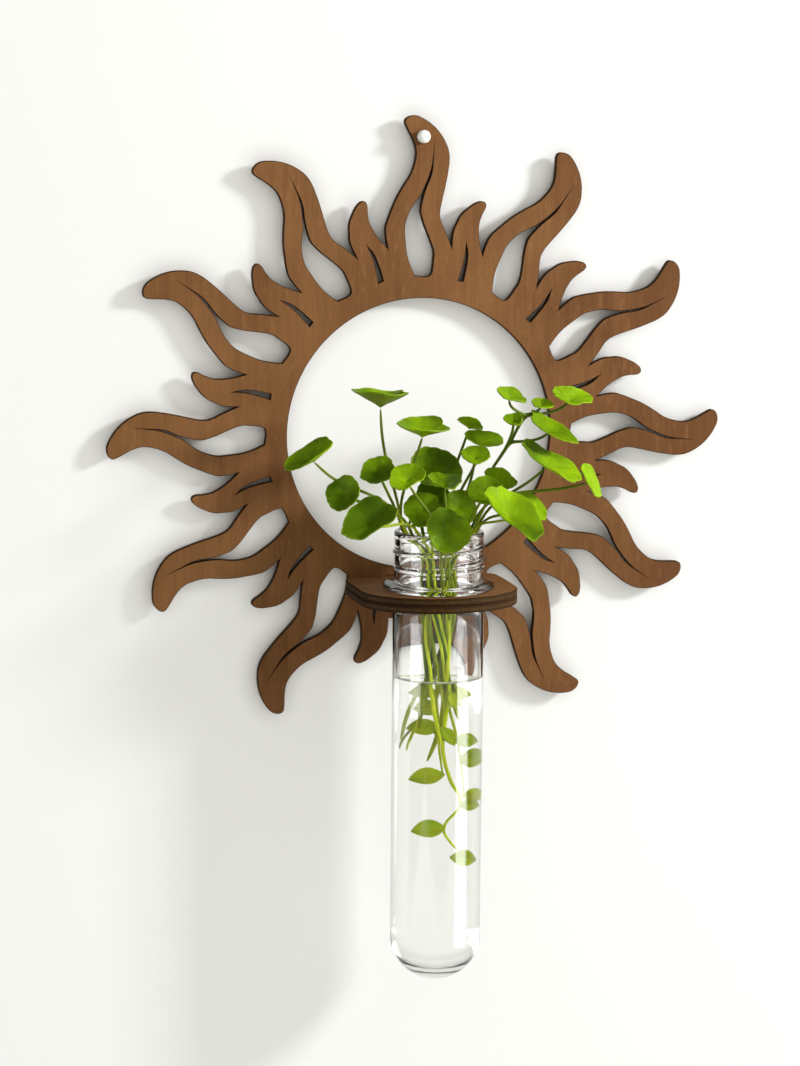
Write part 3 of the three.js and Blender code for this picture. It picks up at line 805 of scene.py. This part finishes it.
def shape_blade(piece, place, plant, seed):
    """Gives a flat round leaf its scalloped rim, its sinus at the stalk, its funnel and its waves."""
    centre, out, across, up, length, width = place
    dice = random.Random(seed)
    scallops = dice.choice((11, 12, 13, 14, 15))
    phase = dice.uniform(0, FULL_TURN)
    lobes = [(dice.uniform(-0.05, 0.05), count, dice.uniform(0, FULL_TURN)) for count in (2, 3, 5)]
    waves = [(dice.uniform(-0.11, 0.11), count, dice.uniform(0, FULL_TURN)) for count in (2, 3, 5)]
    sinus = dice.choice((0.0, 0.0, 0.05, 0.12))
    level = up.z * up.z
    fold = dice.uniform(0.02, 0.12) * (1 - level)
    droop = dice.uniform(0.08, 0.22) * (1 - level)
    taper = dice.uniform(0.0, 0.16)
    cup = plant.cup * 2 * width * (0.25 + 0.75 * level)
    for vertex in piece.data.vertices:
        reach = min(1.0, vertex.co.to_2d().length)
        angle = math.atan2(vertex.co.y, vertex.co.x)
        back = math.pi - abs(angle)
        rim = 1 - plant.scallop * (1 - abs(math.sin(scallops * angle / 2 + phase))) * reach**3
        notch = sinus * bell(back, NOTCH_WIDTH) + HOLLOW * bell(back, HOLLOW_WIDTH)
        rim *= 1 - notch * reach
        for size, count, start in lobes:
            rim *= 1 + size * reach * math.sin(count * angle + start)
        lift = cup * reach ** (1.7 - 0.55 * level) - DIP * bell(reach, DIP_WIDTH)
        lift += fold * width * abs(math.sin(angle)) * reach
        for size, count, start in waves:
            lift += (1 - 0.6 * level) * size * width * reach**2.5 * math.sin(count * angle + start)
        lift += RIB_RISE * width * math.cos(RIBS * angle) * reach * (1.2 - reach)
        lift -= droop * length * max(0.0, vertex.co.x) ** 2
        narrow = 1 - taper * vertex.co.x
        side = vertex.co.x * rim * length * out + vertex.co.y * rim * narrow * width * across
        vertex.co = centre + side + up * lift


def shape_oval(piece, centre, out, across, up, length, width):
    """Gives a flat round leaf the pointed oval of a leaf under water, folded along its midrib."""
    for vertex in piece.data.vertices:
        x, y = vertex.co.x, vertex.co.y
        y *= 1.1 * math.sqrt(max(0.0, 1 - min(1.0, x * x)))
        lift = 0.18 * abs(y) * width - 0.05 * (x + 1) ** 2 * length
        vertex.co = centre + out * (x * length / 2) + across * (y * width / 2) + up * lift


def bent_stem(name, points, radius):
    """A thin round stem along a smooth line, and that line."""
    bpy.ops.object.select_all(action="DESELECT")
    bpy.ops.curve.primitive_bezier_curve_add()
    stem = bpy.context.object
    stem.name = name
    curve = stem.data
    curve.name = name
    spline = curve.splines[0]
    spline.bezier_points.add(len(points) - 2)
    for index, (point, place) in enumerate(zip(spline.bezier_points, points)):
        point.co = place
        point.handle_left_type = point.handle_right_type = "AUTO"
        point.radius = 1.0 - 0.6 * index / (len(points) - 1)
    bpy.ops.object.mode_set(mode="EDIT")
    bpy.ops.object.mode_set(mode="OBJECT")
    line = []
    knots = list(curve.splines[0].bezier_points)
    for one, two in zip(knots[:-1], knots[1:]):
        line.append(interpolate_bezier(one.co, one.handle_right, two.handle_left, two.co, LINE_STEPS + 1))
    curve.bevel_depth = radius
    curve.bevel_resolution = 3
    curve.resolution_u = 10
    curve.use_fill_caps = True
    bpy.ops.object.convert(target="MESH")
    return bpy.context.object, line


def eased(value, low, high):
    """Rises smoothly from nought to one between two values."""
    share = min(1.0, max(0.0, (value - low) / (high - low)))
    return share * share * (3 - 2 * share)


def gather(piece, dice):
    """Draws a stalk in to the loose bunch that stands in the neck, and lets it wander in the tube."""
    share = dice.uniform(-0.45, 0.1)
    swing = dice.uniform(-1.7, 1.7)
    sway = [
        (dice.uniform(0.2, 0.8) * MM, dice.uniform(50, 110) * MM, dice.uniform(0, FULL_TURN))
        for _ in range(2)
    ]
    for vertex in piece.data.vertices:
        depth = (MOUTH - vertex.co.z) / MM
        if depth < 0:
            continue
        below = eased(depth, *DIFFERING)
        draw = float(np.interp(depth, DRAWN_AT, DRAWN))
        draw += share * below * (1 - eased(depth, *MEETING))
        turn = swing * eased(depth, *TURNING)
        side = Matrix.Rotation(turn, 3, "Z") @ (vertex.co - AXIS) * draw
        for index, (size, pitch, start) in enumerate(sway):
            shift = below * size * math.sin(FULL_TURN * depth * MM / pitch + start)
            vertex.co[index] = AXIS[index] + side[index] + shift


def smooth_stalk(node, name, fatten):
    """A rounded copy of a thin CAD stalk, stouter down to the water and pointed at its end."""
    piece = copy_of(node, name)
    edit_all()
    bpy.ops.mesh.tris_convert_to_quads(face_threshold=math.radians(60), shape_threshold=math.radians(60))
    bpy.ops.object.mode_set(mode="OBJECT")
    stout = PLAIN_SWELL + fatten
    swells = (PLAIN_SWELL, stout, stout, THINNED * stout, *POINTED)
    ways = [vertex.normal.copy() for vertex in piece.data.vertices]
    for vertex, way in zip(piece.data.vertices, ways):
        depth = (MOUTH - vertex.co.z) / MM
        vertex.co += way * float(np.interp(depth, SWELL_AT, swells)) * MM
    apply_modifier(piece, "SUBSURF", levels=2, render_levels=2)
    tidy_faces(piece, 60)
    return piece


class STATION_OT_sun(bpy.types.Operator):
    """Cut the plywood sun"""

    bl_idname = "station.sun"
    bl_label = "Sun"

    def execute(self, context):
        wood = context.scene.station_wood
        low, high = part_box("sun_plate")
        piece = cut_board("sun_plate", "sun", Y, wood.sun_arris, wood.corner_angle)
        skin = stained_plywood("sun_plywood", wood, Y, Z, low.y, high.y)
        dress(piece, "plaque", "plywood", [skin], "sun_plate")
        return {"FINISHED"}


class STATION_OT_shelf(bpy.types.Operator):
    """Cut the shelf's two plywood layers"""

    bl_idname = "station.shelf"
    bl_label = "Shelf"

    def execute(self, context):
        wood = context.scene.station_wood
        for node in ("shelf_upper_layer", "shelf_lower_layer"):
            low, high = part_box(node)
            piece = cut_board(node, node.replace("_layer", ""), Z, wood.shelf_arris, wood.corner_angle)
            skin = stained_plywood(node + "_plywood", wood, Z, X, low.z, high.z)
            dress(piece, "plaque", "plywood", [skin], node)
        return {"FINISHED"}


class STATION_OT_nail(bpy.types.Operator):
    """Turn the nail's round head, and finish its pin"""

    bl_idname = "station.nail"
    bl_label = "Nail"

    def execute(self, context):
        piece = copy_of("nail_head", "nail_knob")
        apply_modifier(piece, "BEVEL", width=0.3 * MM, segments=3, limit_method="ANGLE")
        apply_modifier(piece, "SUBSURF", levels=1, render_levels=1)
        tidy_faces(piece, 50)
        dress(piece, "nail", "white_plastic", [white_plastic()], "nail_head")
        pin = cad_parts["nail_pin"]
        pin.material_slots[0].material = nail_steel()
        return {"FINISHED"}


class STATION_OT_tube(bpy.types.Operator):
    """Turn the clear tube with its flange and threaded neck"""

    bl_idname = "station.tube"
    bl_label = "Tube"

    def execute(self, context):
        tube = context.scene.station_tube
        piece = spun("tube_vase", tube_profile(tube), tube.sides)
        raise_thread(piece, tube)
        tidy_faces(piece, 60)
        dress(piece, "tube", "clear_plastic", [clear_plastic(tube)], "clear_tube")
        return {"FINISHED"}


class STATION_OT_water(bpy.types.Operator):
    """Fill the tube with water that climbs a little at the wall"""

    bl_idname = "station.water"
    bl_label = "Water"

    def execute(self, context):
        tube = context.scene.station_tube
        in_wall = SURFACE_RINGS[0] * MM
        radius = BODY_RADIUS - tube.wall + in_wall
        level = FLANGE - tube.water_depth
        profile = [(POLE, BOWL - BODY_RADIUS + tube.base - in_wall)]
        profile += arc(BOWL, radius, BODY_RADIUS - tube.base + in_wall, POLE_ANGLE, 0, BOWL_STEPS)
        profile += [(radius, level - 40 * MM), (radius, level + CLIMB)]
        for away in SURFACE_RINGS:
            climb = CLIMB * math.exp(-(away - SURFACE_RINGS[0]) / CLIMB_WIDTH)
            profile.append((radius - away * MM, level + climb))
        profile.append((POLE, level))
        piece = spun("water", profile, tube.sides)
        tidy_faces(piece, 40)
        dress(piece, "tube", "clear_plastic", [tap_water(tube), water_rim()])
        for polygon in piece.data.polygons:
            if polygon.center.z > level + RIM_RISE:
                polygon.material_index = 1
        return {"FINISHED"}


class STATION_OT_leaves(bpy.types.Operator):
    """Shape the round leaves, each on its own stalk"""

    bl_idname = "station.leaves"
    bl_label = "Leaves"

    def execute(self, context):
        plant = context.scene.station_plant
        skins = [
            leaf_skin("leaf_upper", plant.bright, plant.deep, plant.vein, 0.05),
            leaf_skin("leaf_under", plant.underside, plant.stalk, plant.vein, 0.02),
        ]
        blank = leaf_blank(sides=128, rings=9)
        sprig_top = Vector((37 * MM, AXIS.y - 3 * MM, MOUTH + 50 * MM))
        nodes = [name for name in sorted(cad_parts) if name.startswith(("leaf_", "sprig_leaf_"))]
        nodes = [name for name in nodes if "stalk" not in name]
        for seed, node in enumerate(nodes):
            piece = doubled(blank)
            piece.name = node.replace("leaf", "blade")
            piece.data.name = piece.name
            stem = AXIS if node.startswith("leaf_") else sprig_top
            shape_blade(piece, blade_frame(node, stem), plant, seed)
            for skin in skins:
                piece.data.materials.append(skin)
            sides = {"material_offset": 1, "material_offset_rim": 0}
            apply_modifier(piece, "SOLIDIFY", thickness=plant.blade_thickness, offset=0, **sides)
            bpy.ops.object.shade_smooth_by_angle(angle=math.radians(60))
            dress(piece, "cuttings", "leaf", [], node)
        bpy.data.objects.remove(blank)
        return {"FINISHED"}


class STATION_OT_stalks(bpy.types.Operator):
    """Round the stalks and the sprig's stem"""

    bl_idname = "station.stalks"
    bl_label = "Stalks"

    def execute(self, context):
        plant = context.scene.station_plant
        kinds = (("dark", 0.7, 0.75), ("middle", 1.0, 0.4), ("light", 1.4, 0.15))
        skins = [stalk_skin(plant, f"stalk_{name}", tone, shaded) for name, tone, shaded in kinds]
        nodes = [name for name in sorted(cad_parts) if name.startswith(("leaf_stalk", "sprig_stem"))]
        for seed, node in enumerate(nodes):
            dice = random.Random(seed)
            piece = smooth_stalk(node, node + "_round", dice.uniform(0.35, 0.95))
            gather(piece, dice)
            dress(piece, "cuttings", "stalk", [dice.choice(skins)], node)
        return {"FINISHED"}


class STATION_OT_shoots(bpy.types.Operator):
    """Hang the trailing shoots in the water"""

    bl_idname = "station.shoots"
    bl_label = "Trailing shoots"

    def execute(self, context):
        plant = context.scene.station_plant
        stem_skin = bpy.data.materials["stalk_light"]
        leaf = leaf_skin("leaf_wet", plant.wet_leaf, plant.wet_stalk, plant.vein, 0.02)
        blank = leaf_blank(sides=48, rings=6)
        mouth = Vector((AXIS.x, AXIS.y, MOUTH))
        bore = BODY_RADIUS - context.scene.station_tube.wall
        for number, (held, path, blades) in enumerate(SHOOTS, 1):
            side = math.radians(held)
            points = [mouth + Vector((HELD * math.cos(side), HELD * math.sin(side), z * MM)) for z in HELD_AT]
            points += [mouth + Vector((x * bore, y * bore, z * MM)) for x, y, z in path]
            stem, line = bent_stem(f"shoot_{number}", points, (1.1 - 0.15 * number) * MM)
            stem.data.materials.append(stem_skin)
            pieces = []
            for share, way, facing, length, width in blades:
                part = min(share * len(line), len(line) - 1e-6)
                base = line[int(part)][int(part % 1 * LINE_STEPS)]
                up = Vector(facing).normalized()
                out = Vector((way[0], way[1], 0))
                across = up.cross(out).normalized()
                out = across.cross(up)
                middle = base + Vector(way).normalized() * (length / 2 - 0.6) * MM
                blade = doubled(blank)
                shape_oval(blade, middle, out, across, up, length * MM, width * MM)
                blade.data.materials.append(leaf)
                apply_modifier(blade, "SOLIDIFY", thickness=plant.blade_thickness, offset=0)
                pieces.append(blade)
            pick(stem)
            for blade in pieces:
                blade.select_set(True)
            bpy.ops.object.join()
            bpy.ops.object.shade_smooth_by_angle(angle=math.radians(60))
            dress(stem, "cuttings", "stalk", [], f"trailing_shoot_{number}")
        bpy.data.objects.remove(blank)
        return {"FINISHED"}


def pale_wall(stage):
    """Pale matt paint, with painted shade that darkens it behind narrow slits and dims its own glow near the
    object, and seen only from the room's side.
    """
    finish = Finish("pale_wall")
    grain = finish.noise(finish.place(), 300.0, 4.0)
    paint = finish.mix(finish.times(grain, 0.04), opaque(stage.wall), (0.7, 0.7, 0.7, 1.0))
    # Painted shade: an occlusion mask darkens the paint behind narrow slits
    open_air = finish.add("ShaderNodeAmbientOcclusion", {"Distance": SHADE_REACH}, samples=8).outputs["AO"]
    in_slit = finish.spread(open_air, SLIT_FROM, SLIT_TO)
    finish.shade(
        Base_Color=finish.mix(in_slit, paint, (0.1, 0.1, 0.1, 1.0)), Roughness=0.9, Specular_IOR_Level=0.1
    )
    finish.bump(grain, 0.1 * MM, 0.2)
    path = finish.add("ShaderNodeLightPath").outputs
    straight = finish.math("MAXIMUM", path["Is Camera Ray"], path["Is Glossy Ray"])
    seen = finish.math("MAXIMUM", finish.times(straight, WALL_GLOW), path["Is Transmission Ray"])
    # Painted shade: the wall's own glow is dimmed near the object and almost put out in narrow slits
    bright = finish.times(open_air, finish.math("MULTIPLY_ADD", in_slit, -0.9, 1.0))
    glow = {"Color": (1.0, 0.995, 0.93, 1.0), "Strength": bright}
    white = finish.add("ShaderNodeEmission", glow).outputs[0]
    lit = finish.add("ShaderNodeMixShader", {0: seen, 1: finish.shader.outputs[0], 2: white}).outputs[0]
    behind = finish.add("ShaderNodeNewGeometry").outputs["Backfacing"]
    through = finish.add("ShaderNodeBsdfTransparent").outputs[0]
    both = finish.add("ShaderNodeMixShader", {0: behind, 1: lit, 2: through}).outputs[0]
    finish.feed(finish.tree.nodes["Material Output"].inputs["Surface"], both)
    return finish.material


def add_light(name, power, aim, width, height, offset):
    """A rectangular soft light, turned to what it aims at."""
    place = aim + offset
    bpy.ops.object.light_add(type="AREA", location=place)
    light = bpy.context.object
    light.name = name
    light.data.shape = "RECTANGLE"
    light.data.size = width
    light.data.size_y = height
    light.data.energy = power
    light.rotation_euler = (aim - place).to_track_quat("-Z", "Y").to_euler()
    return light


class STATION_OT_stage(bpy.types.Operator):
    """Set the wall, the floor, the light and the camera"""

    bl_idname = "station.stage"
    bl_label = "Stage"

    def execute(self, context):
        stage = context.scene.station_stage
        scene = context.scene
        scene.view_settings.view_transform = "Standard"
        skin = pale_wall(stage)
        bpy.ops.object.select_all(action="DESELECT")
        upright = (math.radians(90), 0, 0)
        bpy.ops.mesh.primitive_plane_add(size=PLANE, location=(0, WALL_GAP, 0), rotation=upright)
        wall = context.object
        wall.name = "wall"
        bpy.ops.mesh.primitive_plane_add(size=PLANE, location=(0, 0, TUBE_LOW.z - FLOOR_DROP))
        floor = context.object
        floor.name = "floor"
        for plane in (wall, floor):
            plane.data.materials.append(skin)
        wall.visible_diffuse = False
        wall.visible_shadow = False

        add_light("key", stage.key, MIDDLE, *KEY)
        window = add_light("window", stage.window, MIDDLE, *WINDOW)
        card = add_light("card", stage.card, NECK, *CARD)
        for light in (window, card):
            light.visible_diffuse = False
            light.visible_camera = False

        room = Finish("room", "worlds", "Background")
        path = room.add("ShaderNodeLightPath").outputs
        seen = room.math("MAXIMUM", path["Is Camera Ray"], path["Is Transmission Ray"])
        level = room.spread(seen, 0.0, 1.0, stage.ambient, SEEN_ROOM)
        strength = room.spread(path["Glossy Depth"], 0.0, 1.0, level, MIRRORED_ROOM)
        room.shade(Color=(1.0, 0.99, 0.94, 1.0), Strength=strength)
        scene.world = room.material

        ahead = Vector((math.sin(YAW) * math.cos(DIVE), math.cos(YAW) * math.cos(DIVE), -math.sin(DIVE)))
        right = Vector((math.cos(YAW), -math.sin(YAW), 0))
        above = right.cross(ahead)
        turned_right = right * math.cos(ROLL) + above * math.sin(ROLL)
        turned_above = above * math.cos(ROLL) - right * math.sin(ROLL)
        bpy.ops.object.camera_add()
        camera = context.object
        camera.name = "camera"
        axes = Matrix((turned_right, turned_above, -ahead)).transposed().to_4x4()
        camera.matrix_world = Matrix.Translation(CAMERA) @ axes
        camera.data.lens = stage.lens
        camera.data.sensor_fit = "AUTO"
        camera.data.sensor_width = 36.0
        camera.data.clip_end = 20.0
        scene.camera = camera
        return {"FINISHED"}


class STATION_PT_panel(bpy.types.Panel):
    """Lists the station's pieces and their settings"""

    bl_label = "Propagation Station"
    bl_idname = "STATION_PT_panel"
    bl_space_type = "VIEW_3D"
    bl_region_type = "UI"
    bl_category = "Station"

    def draw(self, context):
        for group, (_, *operators) in GROUPS.items():
            box = self.layout.box()
            for operator in operators:
                box.operator(operator.bl_idname)
            settings = getattr(context.scene, group)
            for name in settings.__annotations__:
                box.prop(settings, name)


GROUPS = {
    "station_wood": (WoodSettings, STATION_OT_sun, STATION_OT_shelf, STATION_OT_nail),
    "station_tube": (TubeSettings, STATION_OT_tube, STATION_OT_water),
    "station_plant": (PlantSettings, STATION_OT_leaves, STATION_OT_stalks, STATION_OT_shoots),
    "station_stage": (StageSettings, STATION_OT_stage),
}
CLASSES = (*(cls for group in GROUPS.values() for cls in group), STATION_PT_panel)


def register():
    for cls in CLASSES:
        bpy.utils.register_class(cls)
    for group, (settings, *_) in GROUPS.items():
        setattr(bpy.types.Scene, group, bpy.props.PointerProperty(type=settings))


def unregister():
    for group in GROUPS:
        delattr(bpy.types.Scene, group)
    for cls in reversed(CLASSES):
        bpy.utils.unregister_class(cls)


def main():
    register()
    bpy.ops.station.stage()
    bpy.ops.station.sun()
    bpy.ops.station.shelf()
    bpy.ops.station.nail()
    bpy.ops.station.tube()
    bpy.ops.station.water()
    bpy.ops.station.leaves()
    bpy.ops.station.stalks()
    bpy.ops.station.shoots()


if __name__ == "__main__":
    main()
